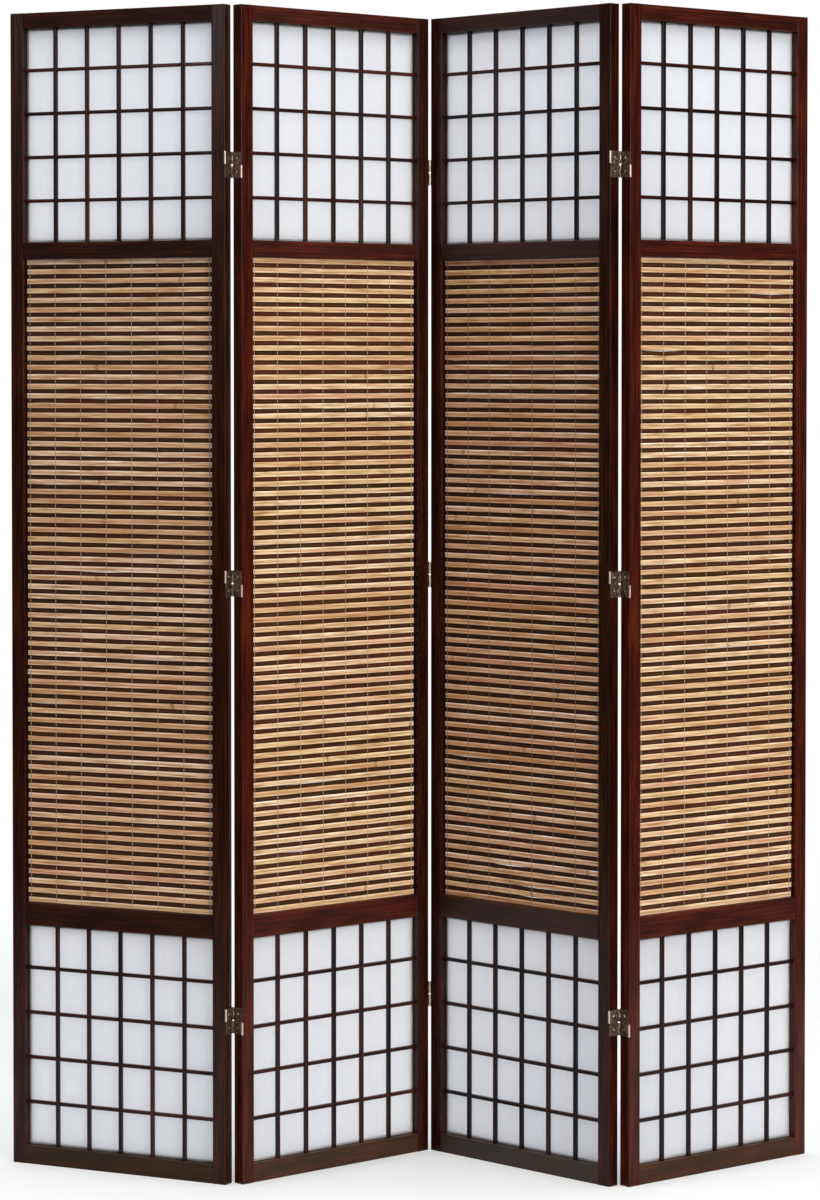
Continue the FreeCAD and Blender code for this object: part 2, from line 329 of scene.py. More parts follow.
def crosswise(tree, place):
    """A place with across and up changed round, for grain that runs across."""
    across, deep, up = split(tree, place)
    return spot(tree, up, deep, across)


def streaks(tree, place, size, detail=4.0, roughness=0.55):
    """Noise whose marks have the given size in each direction, in metres."""
    finer = [1 / s for s in size]
    drawn_out = add(tree, "ShaderNodeVectorMath", {0: place, 1: finer}, operation="MULTIPLY")
    return add(tree, "ShaderNodeTexNoise", {
        "Vector": drawn_out, "Scale": 1.0, "Detail": detail, "Roughness": roughness}).outputs["Fac"]


print("grain helpers ready")

# %% Colour, roughness and relief
def tones(tree, value, *stops):
    """A colour for each place by a value between 0 and 1."""
    ramp = add(tree, "ShaderNodeValToRGB", {0: value})
    marks = ramp.color_ramp.elements
    while len(marks) < len(stops):
        marks.new(0.5)
    for mark, (place, colour) in zip(marks, stops):
        mark.position = place
        mark.color = (*colour, 1)
    return ramp.outputs["Color"]


def toned(colour, by):
    """A lighter or darker colour."""
    return tuple(by * c for c in colour)


def surfaced(tree, surface, colour, rough, relief, gloss=0.5):
    """Fills in a surface. Roughness and fine relief each follow a mark between 0 and 1."""
    mark, smooth, dull = rough
    height, depth, strength = relief
    bump = add(tree, "ShaderNodeBump", {"Height": height, "Distance": depth, "Strength": strength})
    fill(tree, surface, {"Base Color": colour, "Normal": bump, "Specular IOR Level": gloss,
                         "Roughness": spread(tree, mark, 0.0, 1.0, smooth, dull)})


print("finish helpers ready")

# %% The stain
red_stain = ((0.013, 0.0016, 0.0005), (0.043, 0.0052, 0.0012), (0.095, 0.0145, 0.0037))
# A darker copy of the red stain: painted shade on the two panels that face left and on the right stile of the
# second panel.
painted_shade_stain = ((0.006, 0.0012, 0.0005), (0.02, 0.0034, 0.0011), (0.05, 0.009, 0.0032))
panel_stain_with_painted_shade = {1: painted_shade_stain, 2: red_stain, 3: painted_shade_stain, 4: red_stain}
right_stile_painted_shade_stain = {**panel_stain_with_painted_shade, 2: painted_shade_stain}
rail_gloss = {1: 0.12, 2: 0.18, 3: 0.4, 4: 0.12}
rail_dull, rail_dust_and_sheen = 0.3, 0.35
# A grey-brown film on the bottom rails: partly dust, partly a painted reflection of the white floor.
dust_and_floor_sheen, dust_and_sheen_thins, dust_and_sheen_ends = (0.052, 0.044, 0.026, 1), 0.03, 0.06


def stained(name, panel, stain, grain=on_panel, gloss=0.22, dull=0.14, cloud=(0.016, 0.016, 0.1), cloudy=0.35,
            dust_and_sheen=0.0):
    """Dark stain over grain along the third direction of a place, with dust and a painted floor reflection near
    the floor.
    """
    finish, tree, surface = new_finish("%s_%d" % (name, panel))
    place = grain(tree, panel)
    fibre = streaks(tree, place, (0.0012, 0.0012, 0.07), 5.0, 0.62)
    bands = streaks(tree, place, (0.0026, 0.0026, 0.24), 2.0)
    clouds = streaks(tree, place, cloud, 3.0)
    shade = mixed(tree, cloudy, mixed(tree, 0.55, fibre, bands), clouds)
    dark, middle, light = stain
    colour = tones(tree, shade, (0.39, dark), (0.5, middle), (0.61, light))
    if dust_and_sheen:
        height = split(tree, own_place(tree))[2]
        colour = blend(tree, spread(tree, height, dust_and_sheen_thins, dust_and_sheen_ends, dust_and_sheen, 0.0), colour, dust_and_floor_sheen)
    relief = mixed(tree, 0.75, fibre, bands)
    surfaced(tree, surface, colour, (fibre, dull, dull + 0.24), (relief, 0.0006, 0.8), gloss)
    return finish


print("a stain has", len(red_stain), "shades")

# %% Stained frames
def level_grain(tree, panel):
    """A place whose third direction runs across the panel."""
    return crosswise(tree, on_panel(tree, panel))


def give(node, finish):
    """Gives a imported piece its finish."""
    shape = cad_nodes[node].data
    shape.materials.clear()
    shape.materials.append(finish)


for panel in panel_place:
    stain = panel_stain_with_painted_shade[panel]
    left = stained("timber_left", panel, stain)
    right = stained("timber_right", panel, right_stile_painted_shade_stain[panel])
    level = stained("timber_level", panel, stain, level_grain, rail_gloss[panel], rail_dull, dust_and_sheen=rail_dust_and_sheen)
    give("panel_%d_left_stile" % panel, left)
    give("panel_%d_right_stile" % panel, right)
    give("panel_%d_rails" % panel, level)
print("stained", 3 * len(panel_place), "frame pieces")

# %% [markdown]
# The battens
#
# Thin battens line each opening from behind and hold the paper and the mat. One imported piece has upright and
# level battens, so one finish has to know which is which: the upright ones lie within 8 mm of the stiles,
# where the level ones have only their ends. A comparison on the distance from the panel's middle picks the
# direction of the grain.

# %% Battens
batten_width = 0.008
window_width = panel_width - 2 * stile_width


def sums(tree, operation, first, second=0.0):
    """One sum in a tree."""
    return add(tree, "ShaderNodeMath", {0: first, 1: second}, operation=operation).outputs[0]


def apart(tree, first, second):
    """The distance between two numbers."""
    return sums(tree, "ABSOLUTE", sums(tree, "SUBTRACT", first, second))


def batten_grain(tree, panel):
    """Upright grain beside the stiles, level grain between them."""
    place = on_panel(tree, panel)
    away = apart(tree, split(tree, place)[0], panel_width / 2)
    beside = sums(tree, "GREATER_THAN", away, window_width / 2 - batten_width)
    ways = {"Factor": beside, 4: crosswise(tree, place), 5: place}
    return add(tree, "ShaderNodeMix", ways, data_type="VECTOR").outputs[1]


for panel in panel_place:
    give("panel_%d_battens" % panel, stained("timber_batten", panel, panel_stain_with_painted_shade[panel], batten_grain))
print("stained the battens of", len(panel_place), "panels")

# %% [markdown]
# Growing pieces with Geometry Nodes
#
# The lattice, the strips, the threads and the screws repeat by a rule. Each gets a tree with named inputs for
# its sizes, so that a size can be changed in one place. The tree runs as a modifier on a starting mesh. Its
# result is then kept as a plain mesh, the modifier is taken off, and the mesh is carried to where its panel
# stands.

# %% Running a tree
def new_tree(name, **inputs):
    """An empty Geometry Nodes tree, with its named inputs listed by kind."""
    tree = bpy.data.node_groups.new(name, "GeometryNodeTree")
    tree.interface.new_socket("Geometry", in_out="OUTPUT", socket_type="NodeSocketGeometry")
    tree.interface.new_socket("Geometry", in_out="INPUT", socket_type="NodeSocketGeometry")
    for kind, labels in inputs.items():
        for label in labels:
            tree.interface.new_socket(label, in_out="INPUT", socket_type="NodeSocket" + kind)
    return tree, tree.nodes.new("NodeGroupInput").outputs


def grow(name, tree, sizes, start=None):
    """Runs a tree once and keeps the result as a plain mesh."""
    piece = bpy.data.objects.new(name, start or bpy.data.meshes.new(name))
    bpy.context.scene.collection.objects.link(piece)
    grower = piece.modifiers.new("grow", "NODES")
    grower.node_group = tree
    for socket in tree.interface.items_tree:
        if socket.in_out == "INPUT" and socket.name in sizes:
            grower[socket.identifier] = sizes[socket.name]
    now = bpy.context.evaluated_depsgraph_get()
    done = piece.evaluated_get(now)
    grown = bpy.data.meshes.new_from_object(done, preserve_all_data_layers=True, depsgraph=now)
    piece.modifiers.remove(grower)
    piece.data = grown
    return piece


def settle(piece, panel, node):
    """Carries a grown piece to its panel, where it stands for a packed one."""
    piece.data.transform(panel_place[panel])
    piece.data.update()
    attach(piece, "panel_%d" % panel)
    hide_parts(node)
    return len(piece.data.polygons)


print("growing helpers ready")

# %% Shapes that come up in every tree
def position(tree):
    """Where each point of a shape is."""
    return add(tree, "GeometryNodeInputPosition").outputs[0]


def swept(tree, path, section):
    """A closed solid with a section, along a path."""
    return add(tree, "GeometryNodeCurveToMesh", {
        "Curve": path, "Profile Curve": section, "Fill Caps": True}).outputs[0]


def eased(tree, wide, high, ease, steps):
    """A rectangular section with eased corners."""
    section = add(tree, "GeometryNodeCurvePrimitiveQuadrilateral", {"Width": wide, "Height": high})
    return add(tree, "GeometryNodeFilletCurve", {"Curve": section, "Radius": ease, "Count": steps},
               mode="POLY").outputs[0]


def in_row(tree, thing, count, start, step):
    """A thing repeated at even steps."""
    row = add(tree, "GeometryNodeMeshLine", {"Count": count, "Start Location": start, "Offset": step})
    return add(tree, "GeometryNodeInstanceOnPoints", {"Points": row, "Instance": thing}).outputs[0]


def together(tree, shapes):
    """Several shapes as one."""
    whole = add(tree, "GeometryNodeJoinGeometry")
    for shape in shapes:
        fill(tree, whole, {0: shape})
    return whole.outputs[0]


def real(tree, shape):
    """Repeated things turned into geometry of their own."""
    return add(tree, "GeometryNodeRealizeInstances", {"Geometry": shape}).outputs[0]


print("shape helpers ready")

# %% The end of a tree
def kept(tree, shape, label, value, kind="FLOAT", domain="POINT"):
    """Stores a value on a shape, for its finish to read."""
    return add(tree, "GeometryNodeStoreNamedAttribute", {"Geometry": shape, "Name": label, "Value": value},
               data_type=kind, domain=domain).outputs[0]


def soften(tree, shape, sharp=0.6):
    """Smooth shading, apart from edges that turn by more than an angle."""
    angle = add(tree, "GeometryNodeInputMeshEdgeAngle").outputs[0]
    soft = add(tree, "FunctionNodeCompare", {"A": angle, "B": sharp}, data_type="FLOAT",
               operation="LESS_THAN")
    for domain, smooth in (("FACE", True), ("EDGE", soft)):
        shape = add(tree, "GeometryNodeSetShadeSmooth", {"Geometry": shape, "Shade Smooth": smooth},
                    domain=domain).outputs[0]
    return shape


def hand_back(tree, shape):
    """The result of a tree."""
    fill(tree, tree.nodes.new("NodeGroupOutput"), {0: shape})


def end(tree, shape, finish):
    """The last nodes of a tree: real geometry, with its finish."""
    hand_back(tree, add(tree, "GeometryNodeSetMaterial", {"Geometry": real(tree, shape), "Material": finish}))


print("end helpers ready")

# %% [markdown]
# The lattice
#
# Five upright bars and four crossbars divide each window into panes, lapped into each other so that their
# faces are flush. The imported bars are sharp-edged. Real ones are eased with a stroke of sandpaper, and that
# thin arris is what catches the light. Here a bar is an eased section swept along a line, and it is repeated
# on a row of points. The crossbars stand back by a hair, so that no two faces share a plane where the bars
# cross.

# %% A row of eased bars
bar_row, given = new_tree("bar_row", Int=("Bars",), Vector=("First", "Step", "Reach"), Float=(
    "Wide", "Deep", "Ease"))
line = add(bar_row, "GeometryNodeCurvePrimitiveLine", {"End": given["Reach"]})
bar = swept(bar_row, line, eased(bar_row, given["Wide"], given["Deep"], given["Ease"], steps=2))
bars = in_row(bar_row, bar, given["Bars"], given["First"], given["Step"])
hand_back(bar_row, soften(bar_row, real(bar_row, bars)))
print("bar row:", len(bar_row.nodes), "nodes")

# %% Sums in a tree
def plus(tree, first, second):
    """Two numbers added."""
    return sums(tree, "ADD", first, second)


def minus(tree, first, second):
    """One number less another."""
    return sums(tree, "SUBTRACT", first, second)


def times(tree, first, second):
    """Two numbers multiplied."""
    return sums(tree, "MULTIPLY", first, second)


def over(tree, first, second):
    """One number divided by another."""
    return sums(tree, "DIVIDE", first, second)


print("sums ready")

# %% Two windows of bars
uprights, crossbars = 5, 4
lattice_tree, given = new_tree("lattice", Material=("Finish",), Float=(
    "Left", "Across", "Lower foot", "Lower height", "Upper foot", "Upper height", "Front", "Bar width",
    "Bar depth", "Ease", "Stand back"))


def spaced(tree, length, count, wide):
    """Distance between neighbouring bars that divide a length evenly."""
    clear = minus(tree, length, times(tree, wide, float(count)))
    return plus(tree, over(tree, clear, float(count + 1)), wide)


def first_bar(tree, start, step, wide):
    """Middle of the bar that stands one pane in from the start."""
    return plus(tree, plus(tree, start, step), times(tree, wide, -0.5))


def bars_in(tree, given, foot, height):
    """The uprights and crossbars of one window, with the place of their grain."""
    left, across, ease = given["Left"], given["Across"], given["Ease"]
    wide, deep = given["Bar width"], given["Bar depth"]
    middle = plus(tree, given["Front"], times(tree, deep, 0.5))
    step = spaced(tree, across, uprights, wide)
    rise = spaced(tree, height, crossbars, wide)
    thinner = minus(tree, deep, times(tree, given["Stand back"], 2.0))
    upright = add(tree, "GeometryNodeGroup", {
        "Bars": uprights, "First": spot(tree, first_bar(tree, left, step, wide), middle, foot),
        "Step": spot(tree, across=step), "Reach": spot(tree, up=height),
        "Wide": wide, "Deep": deep, "Ease": ease}, node_tree=bar_row)
    level = add(tree, "GeometryNodeGroup", {
        "Bars": crossbars, "First": spot(tree, left, middle, first_bar(tree, foot, rise, wide)),
        "Step": spot(tree, up=rise), "Reach": spot(tree, across=across),
        "Wide": thinner, "Deep": wide, "Ease": ease}, node_tree=bar_row)
    place = position(tree)
    return [kept(tree, upright, "grain_place", place, "FLOAT_VECTOR"),
            kept(tree, level, "grain_place", crosswise(tree, place), "FLOAT_VECTOR")]


lower = bars_in(lattice_tree, given, given["Lower foot"], given["Lower height"])
upper = bars_in(lattice_tree, given, given["Upper foot"], given["Upper height"])
end(lattice_tree, together(lattice_tree, lower + upper), given["Finish"])
print("lattice:", len(lattice_tree.nodes), "nodes")

# %% Lattices on the panels
def carried(tree, label, part="Fac"):
    """A value that a grown piece carries, for its finish."""
    return add(tree, "ShaderNodeAttribute", attribute_name=label).outputs[part]


def stored_grain(tree, panel):
    """The place of the grain that a grown piece carries, on any panel."""
    return carried(tree, "grain_place", "Vector")


bar_tone = {1: 1.0, 2: 1.15, 3: 0.68, 4: 0.72}
bar_brown, bar_shades = (0.0195, 0.0046, 0.0028), (0.35, 1.0, 2.4)
bar_clouds = (0.03, 0.03, 0.7)
lattice_of_panel = {
    "Left": stile_width, "Across": window_width, "Lower foot": 0.029, "Lower height": 0.347,
    "Upper foot": 1.443, "Upper height": 0.333, "Front": 0.006, "Bar width": 0.0055, "Bar depth": 0.006,
    "Ease": 0.0005, "Stand back": 0.0001}
for panel in panel_place:
    stain = [toned(bar_brown, shade * bar_tone[panel]) for shade in bar_shades]
    finish = stained("timber_lattice", panel, stain, stored_grain, cloud=bar_clouds, cloudy=0.55)
    lattice = grow("panel_%d_lattice" % panel, lattice_tree, {**lattice_of_panel, "Finish": finish})
    faces = settle(lattice, panel, "panel_%d_lattice_bars" % panel)
print("each lattice has", faces, "faces")

# %% [markdown]
# The paper
#
# White paper is glued to the backs of the lattices. It is thin enough to glow when light falls on it from
# behind, with faint laid lines and cloudy fibres in it. A see-through shader would show what is behind, which
# paper doesn't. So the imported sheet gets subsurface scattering, which spreads the light that enters at one
# face out of the other.

# %% Paper
plain = (1, 1, 1)


def shaded(tree, colour, by, share=1.0):
    """A colour multiplied by another, by a share."""
    return blend(tree, share, colour, by, "MULTIPLY")


for panel in panel_place:
    paper, tree, surface = new_finish("screen_paper_%d" % panel)
    place = on_panel(tree, panel)
    clouds = streaks(tree, place, (0.05, 0.05, 0.07), 5.0, 0.6)
    laid = streaks(tree, place, (0.0022, 0.01, 0.3), 2.0)
    fibres = streaks(tree, place, (0.012, 0.01, 0.0012), 3.0)
    colour = tones(tree, clouds, (0.3, (0.788, 0.822, 0.918)), (0.7, (0.828, 0.857, 0.938)))
    colour = shaded(tree, colour, tones(tree, laid, (0.35, (0.88, 0.885, 0.9)), (0.65, plain)), 0.2)
    colour = shaded(tree, colour, tones(tree, fibres, (0.35, (0.86, 0.86, 0.86)), (0.6, plain)), 0.15)
    surfaced(tree, surface, colour, (clouds, 0.62, 0.8), (laid, 0.00005, 0.5), gloss=0.2)
    fill(tree, surface, {"Subsurface Weight": 1.0, "Subsurface Radius": plain, "Subsurface Scale": 0.008})
    give("panel_%d_paper_sheets" % panel, paper)
print("paper in", 2 * len(panel_place), "windows")

# %% [markdown]
# The bamboo strips
#
# The mat is flat light strips and narrower, rounded dark ones in turn. Split bamboo is never quite straight:
# each strip wanders by a fraction of a millimetre, ends a little short or long, and has a width and a tone of
# its own, and here and there one bows and lets the light through. One tree makes both kinds. A section is
# swept along a line, repeated up the panel, and then moved point by point by seeded noise. It stores each
# strip's tone and the place of its fibres for the finish.

# %% A flat and a domed section
strip_tree, given = new_tree("bamboo_strips", Int=("Strips", "Seed"), Bool=("Domed",), Material=("Finish",),
                             Float=("Pitch", "Foot", "Left", "Length", "Front", "Thick", "High", "Edge",
                                    "Wander", "Swell", "Bow", "Bowed share"))
tree = strip_tree
strip_ease, back_starts = 0.0004, 0.05
half_thick = times(tree, given["Thick"], 0.5)
half_high = times(tree, given["High"], 0.5)
flat_section = eased(tree, given["Thick"], given["High"], strip_ease, steps=1)
ring = add(tree, "GeometryNodeCurvePrimitiveCircle", {"Resolution": 10, "Radius": 1.0})
ring_deep, ring_up, _ = split(tree, position(tree))
crest = minus(tree, given["Thick"], given["Edge"])
dome = plus(tree, times(tree, ring_deep, crest), minus(tree, crest, half_thick))
on_back = sums(tree, "GREATER_THAN", ring_deep, back_starts)
outline = spot(tree, mixed(tree, on_back, dome, half_thick), times(tree, ring_up, half_high))
domed_section = add(tree, "GeometryNodeSetPosition", {"Geometry": ring, "Position": outline})
section = add(tree, "GeometryNodeSwitch", {
    "Switch": given["Domed"], "False": flat_section, "True": domed_section}, input_type="GEOMETRY")
print("sections:", len(tree.nodes), "nodes")

# %% Strips up the panel
end_slip, points_along = 0.0007, 8
strip_marks = {"strip_tone": (0.0, 1.0), "strip_shift": (0.0, 10.0), "strip_bow": (0.0, 1.0),
               "strip_spot": (0.05, 0.33), "strip_swell": (-1.0, 1.0)}


def chance(tree, given, draw, low, high):
    """A random value for each thing in a row, the same on every run."""
    seed = add(tree, "FunctionNodeIntegerMath", {0: given["Seed"], 1: draw}, operation="ADD").outputs[0]
    return add(tree, "FunctionNodeRandomValue", {"Min": low, "Max": high, "Seed": seed},
               data_type="FLOAT").outputs[1]


line = add(tree, "GeometryNodeCurvePrimitiveLine", {"End": spot(tree, given["Length"])})
line = add(tree, "GeometryNodeResampleCurve", {"Curve": line, "Count": points_along})
strip_deep, strip_up = plus(tree, given["Front"], half_thick), plus(tree, given["Foot"], half_high)
start = spot(tree, given["Left"], strip_deep, strip_up)
strip_step = spot(tree, up=given["Pitch"])
strips = in_row(tree, swept(tree, line, section), given["Strips"], start, strip_step)
slip = spot(tree, chance(tree, given, 1, -end_slip, end_slip))
strips = add(tree, "GeometryNodeTranslateInstances", {"Instances": strips, "Translation": slip}).outputs[0]
for draw, (label, (low, high)) in enumerate(strip_marks.items(), start=2):
    strips = kept(tree, strips, label, chance(tree, given, draw, low, high), domain="INSTANCE")
strips = real(tree, strips)
print("strips so far:", len(tree.nodes), "nodes")

# %% Wandering strips
waves_along, waves_apart, deep_wander = 9.0, 37.0, 0.0003
bow_reach, below_foot = 0.045, 0.001


def stored(tree, label):
    """A value that was stored on the strips."""
    return add(tree, "GeometryNodeInputNamedAttribute", {"Name": label}, data_type="FLOAT").outputs[0]


across, deep, up = split(tree, position(tree))
shift = stored(tree, "strip_shift")
fibre_place = spot(tree, plus(tree, across, shift), deep, up)
strips = kept(tree, strips, "grain_place", fibre_place, "FLOAT_VECTOR")

from_foot = plus(tree, minus(tree, up, given["Foot"]), below_foot)
risen = minus(tree, sums(tree, "FLOORED_MODULO", from_foot, given["Pitch"]), below_foot)
strips = kept(tree, strips, "strip_rise", over(tree, risen, given["High"]))
wider = times(tree, stored(tree, "strip_swell"), given["Swell"])
swell = times(tree, wider, minus(tree, risen, half_high))

along = spot(tree, times(tree, across, waves_along), times(tree, shift, waves_apart))
noise = add(tree, "ShaderNodeTexNoise", {"Vector": along, "Scale": 1.0, "Detail": 1.0})
up_noise, deep_noise, _ = split(tree, noise.outputs["Color"])
up_sway = times(tree, minus(tree, up_noise, 0.5), given["Wander"])
deep_sway = times(tree, minus(tree, deep_noise, 0.5), deep_wander)

from_spot = over(tree, apart(tree, across, stored(tree, "strip_spot")), bow_reach)
hump = spread(tree, from_spot, 1.0, 0.0, soft=True)
bowed = sums(tree, "LESS_THAN", stored(tree, "strip_bow"), given["Bowed share"])
bow = times(tree, times(tree, hump, bowed), given["Bow"])
moved = spot(tree, 0.0, deep_sway, plus(tree, plus(tree, up_sway, bow), swell))
strips = add(tree, "GeometryNodeSetPosition", {"Geometry": strips, "Offset": moved})
end(tree, soften(tree, strips), given["Finish"])
print("strips:", len(tree.nodes), "nodes")

# %% [markdown]
# Bamboo, light and dark
#
# The light strips are bare bamboo: straw to honey, here and there pinkish, with fine fibres along the strip
# and now and then the mottled mark of a node. Painted light lies on them as well: lighter edges than middle,
# a painted shade along the lower edge and a painted highlight along the upper one. The dark strips are the
# same bamboo under a brown stain, with a painted sheen along the crown and painted shade at the edges. The
# stored fibre place carries a shift for every strip, so no two strips repeat, and the stored tone sets each
# one apart. Each mat also has a painted light tone of its own, darker and warmer on the panels that face left,
# and so does each set of dark strips.

# %% Marks on a strip
node_spacing, node_reach = 1.7, 0.012


def off_middle(tree):
    """0 along the middle of a strip, 1 at its edges."""
    return times(tree, apart(tree, carried(tree, "strip_rise"), 0.5), 2.0)


def node_marks(tree, place):
    """Dark mottled marks where the cane had a node, 0 between them."""
    turn = sums(tree, "FLOORED_MODULO", over(tree, split(tree, place)[0], node_spacing), 1.0)
    near = spread(tree, apart(tree, turn, 0.5), 0.0, node_reach / node_spacing, 1.0, 0.0, soft=True)
    specks = streaks(tree, place, (0.0022, 0.003, 0.0016), 2.0)
    return spread(tree, times(tree, near, specks), 0.38, 0.55, 0.0, 0.85)


print("a node every", node_spacing, "m of cane")

# %% Light bamboo
# A painted light tone for each mat: darker and warmer on the panels that face left, lighter on those facing
# right.
painted_mat_light = {1: (0.97, 0.932, 0.941), 2: (1.025, 1.067, 1.051),
            3: (0.922, 0.829, 0.787), 4: (0.995, 1.005, 0.965)}
# Painted highlights along the upper edge of each light strip, strongest on the third panel.
painted_edge_highlight = (1.25, 1.28, 1.34)
painted_top_highlight = {1: painted_edge_highlight, 2: painted_edge_highlight, 3: (1.65, 1.9, 2.25), 4: painted_edge_highlight}
tan, pink, node_brown = (0.47, 0.265, 0.105, 1), (0.66, 0.36, 0.25, 1), (0.2, 0.11, 0.04, 1)


def bare_bamboo(panel):
    """Light bamboo for one panel's mat, with a painted light tone, painted edge highlights and painted shade.
    """
    finish, tree, surface = new_finish("light_bamboo_%d" % panel)
    place = stored_grain(tree, panel)
    fibre = streaks(tree, place, (0.06, 0.003, 0.0007), 4.0, 0.6)
    patch = streaks(tree, place, (0.045, 0.02, 0.004), 3.0)
    blush = streaks(tree, place, (0.09, 0.03, 0.012), 3.0)
    straw = tones(tree, carried(tree, "strip_tone"), (0.0, (0.64, 0.385, 0.205)), (0.25, (0.76, 0.52, 0.32)),
                  (0.55, (0.85, 0.63, 0.45)), (0.8, (0.77, 0.555, 0.31)), (1.0, (0.72, 0.43, 0.3)))
    straw = blend(tree, spread(tree, patch, 0.48, 0.7, 0.0, 0.75), straw, tan)
    straw = blend(tree, spread(tree, blush, 0.55, 0.75, 0.0, 0.7), straw, pink)
    lines = tones(tree, fibre, (0.37, (0.58, 0.4, 0.24)), (0.49, (0.93, 0.89, 0.83)),
                  (0.6, (1.09, 1.21, 1.38)))
    # Painted light across each light strip: a darker middle and lighter edges.
    middle = tones(tree, off_middle(tree), (0.0, (0.82, 0.72, 0.61)), (0.5, plain),
                   (1.0, (1.12, 1.14, 1.17)))
    # Painted shade along the lower edge of each light strip, and the painted highlight along its upper edge.
    edges = tones(tree, carried(tree, "strip_rise"), (0.05, (0.35, 0.25, 0.17)), (0.12, plain), (0.7, plain),
                  (0.98, painted_top_highlight[panel]))
    colour = straw
    for by in (lines, middle, edges, (*painted_mat_light[panel], 1)):
        colour = shaded(tree, colour, by)
    colour = blend(tree, node_marks(tree, place), colour, node_brown)
    surfaced(tree, surface, colour, (fibre, 0.42, 0.65), (fibre, 0.00015, 0.5), gloss=0.25)
    return finish


light_bamboo = {panel: bare_bamboo(panel) for panel in panel_place}
print("light bamboo", [finish.name for finish in light_bamboo.values()])

# %% Dark bamboo
# A painted brightness for the dark strips of each panel: darker on the panels that face left.
painted_dark_strip_light = {1: 0.95, 2: 1.15, 3: 0.7, 4: 1.12}
olive = (0.033, 0.0165, 0.005, 1)


def stained_bamboo(panel):
    """Bamboo under a brown stain, with a painted sheen along the crown and painted shade at the edges."""
    finish, tree, surface = new_finish("dark_bamboo_%d" % panel)
    place = stored_grain(tree, panel)
    fibre = streaks(tree, place, (0.05, 0.003, 0.0007), 4.0, 0.6)
    patch = streaks(tree, place, (0.06, 0.02, 0.01), 2.0)
    brown = tones(tree, carried(tree, "strip_tone"), (0.0, (0.027, 0.0088, 0.003)),
                  (0.5, (0.038, 0.0112, 0.0036)), (1.0, (0.05, 0.012, 0.0056)))
    brown = blend(tree, spread(tree, patch, 0.5, 0.65, 0.0, 0.7), brown, olive)
    lines = tones(tree, fibre, (0.34, (0.6, 0.55, 0.5)), (0.52, plain), (0.7, (1.6, 1.5, 1.4)))
    # Painted sheen along the crown of a dark strip and painted shade at its edges.
    painted_sheen_and_shade = tones(tree, off_middle(tree), (0.0, (1.75, 1.85, 2.0)), (0.4, (1.1, 1.1, 1.1)),
                  (0.9, (0.55, 0.5, 0.45)))
    colour = brown
    for by in (lines, painted_sheen_and_shade, (*toned(plain, painted_dark_strip_light[panel]), 1)):
        colour = shaded(tree, colour, by)
    surfaced(tree, surface, colour, (fibre, 0.35, 0.55), (fibre, 0.00015, 0.6), gloss=0.12)
    return finish


dark_bamboo = {panel: stained_bamboo(panel) for panel in panel_place}
print("dark bamboo", [finish.name for finish in dark_bamboo.values()])

# %% Mats on the panels
mat_foot, strip_pitch, pairs = 0.41122, 0.01488, 67
light_high, strip_room, tucked = 0.0086, 0.00628, 0.00045
both_kinds = {"Pitch": strip_pitch, "Left": 0.0255, "Length": 0.329, "Thick": 0.002, "Front": 0.007,
              "Wander": 0.0014}
light_kind = {**both_kinds, "Strips": pairs + 1, "Foot": mat_foot, "High": light_high, "Domed": False,
              "Edge": 0.002, "Swell": 0.06, "Bow": 0.0, "Bowed share": 0.0}
dark_kind = {**both_kinds, "Strips": pairs, "Foot": mat_foot + light_high - tucked,
             "High": strip_room + 2 * tucked, "Domed": True, "Edge": 0.0009, "Swell": 0.0, "Bow": -0.0012,
             "Bowed share": 0.04}
for panel in panel_place:
    light = grow("panel_%d_light_strips" % panel, strip_tree, {
        **light_kind, "Seed": 10 + panel, "Finish": light_bamboo[panel]})
    dark = grow("panel_%d_dark_strips" % panel, strip_tree, {
        **dark_kind, "Seed": 20 + panel, "Finish": dark_bamboo[panel]})
    faces = (settle(light, panel, "panel_%d_light_slats" % panel),
             settle(dark, panel, "panel_%d_dark_slats" % panel))
print("a mat has", faces, "faces in light and dark strips")

# %% [markdown]
# The binding threads
#
# Eight lines of thread hold a mat together. Each line is two strands: one passes in front of a light strip
# and behind the next dark one, and the other does the opposite, so that they cross in every gap. The packed
# threads are plain strands in front and behind. Here a strand is a path of five points for each pair of
# strips, found from the number of the point: two over the light strip and three over the rounded dark one.

# %% Points along a thread
thread_tree, given = new_tree("binding_threads", Int=("Lines", "Pairs"), Material=("Finish",), Float=(
    "First line", "Line step", "Pitch", "Foot", "Light high", "Room", "Front", "Back", "Wide", "Thick"))
tree = thread_tree
over_dark = (0.14, 0.5, 0.86)
points = 2 + len(over_dark)
number = add(tree, "GeometryNodeInputIndex").outputs[0]
pair = sums(tree, "FLOOR", over(tree, number, float(points)))
step = sums(tree, "FLOORED_MODULO", number, float(points))
heights = add(tree, "GeometryNodeIndexSwitch", {"Index": step}, data_type="FLOAT")
while len(heights.index_switch_items) < points:
    heights.index_switch_items.new()
dark_rises = [plus(tree, given["Light high"], times(tree, given["Room"], share)) for share in over_dark]
fill(tree, heights, dict(enumerate([0.0, given["Light high"], *dark_rises], start=1)))
pair_foot = plus(tree, given["Foot"], times(tree, pair, given["Pitch"]))
up = plus(tree, pair_foot, heights.outputs[0])
on_light = sums(tree, "LESS_THAN", step, 1.5)
on_dark = minus(tree, 1.0, on_light)
print("points of a thread:", len(tree.nodes), "nodes")

